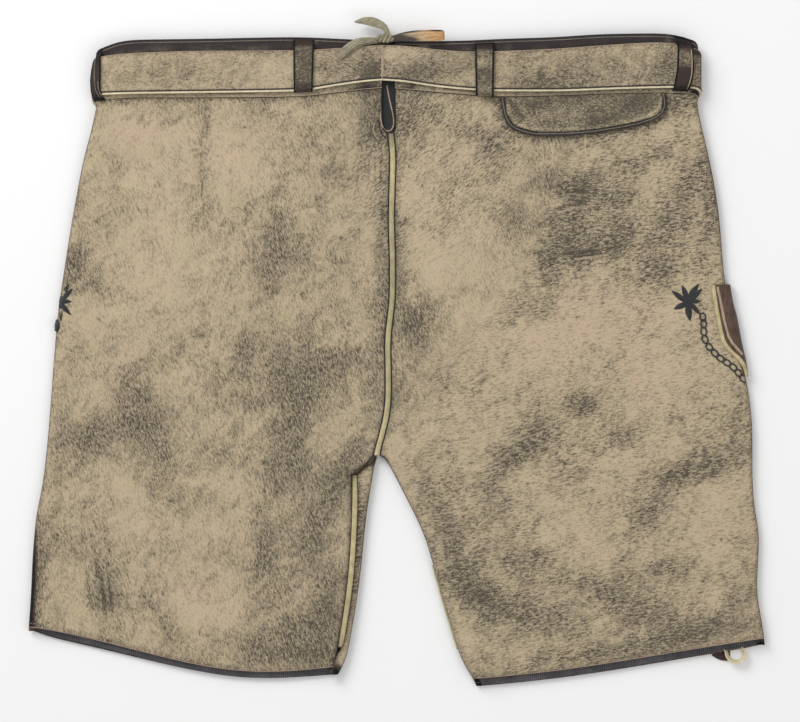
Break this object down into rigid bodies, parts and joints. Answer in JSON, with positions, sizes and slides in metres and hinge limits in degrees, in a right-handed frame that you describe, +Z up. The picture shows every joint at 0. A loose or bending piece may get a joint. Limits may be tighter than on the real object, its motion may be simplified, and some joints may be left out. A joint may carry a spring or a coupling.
{
  "type": "lederhosen",
  "caption": "Short suede leather breeches with a matching belt, laid flat on the front with the back up: piped seams, pocket flap, knife pocket, laced vent.",
  "frame": {"origin": "middle of the bounding box's base, on the surface that the garment lies on, measured without the laces", "axes": "+X to the wearer's right along the waist, +Y from the hems towards the waist, +Z up out of the garment's back"},
  "size_m": [0.6104, 0.5546, 0.0164],
  "materials": {
    "suede": "brushed, matt",
    "dark_leather": "smooth, worn",
    "piping": "smooth, matt",
    "lining": "ribbed, matt",
    "thong": "matt"
  },
  "bodies": {
    "root": {"back_left": "suede", "back_right": "suede", "front_left": "suede", "front_right": "suede", "belt_left": "suede", "belt_right": "suede", "loop_left_side": "suede", "loop_left_back": "suede", "loop_right_back": "suede", "loop_right_side": "suede", "pocket_flap": "suede", "pocket_flap_piping": "suede", "waistband_back_left": "dark_leather", "waistband_back_right": "dark_leather", "waistband_front_left": "dark_leather", "waistband_front_right": "dark_leather", "vent_gusset": "dark_leather", "knife_pocket": "dark_leather", "hem_lace_end": "dark_leather", "piping_centre_back": "piping", "piping_inseam_left": "piping", "piping_inseam_right": "piping", "knife_pocket_piping": "piping", "hem_lace_loop": "piping", "hem_facing_left": "lining", "hem_facing_right": "lining", "lace_knot": "thong", "lace_loop": "thong", "lace_tail_upper": "thong", "lace_tail_lower": "thong"}
  },
  "joints": []
}
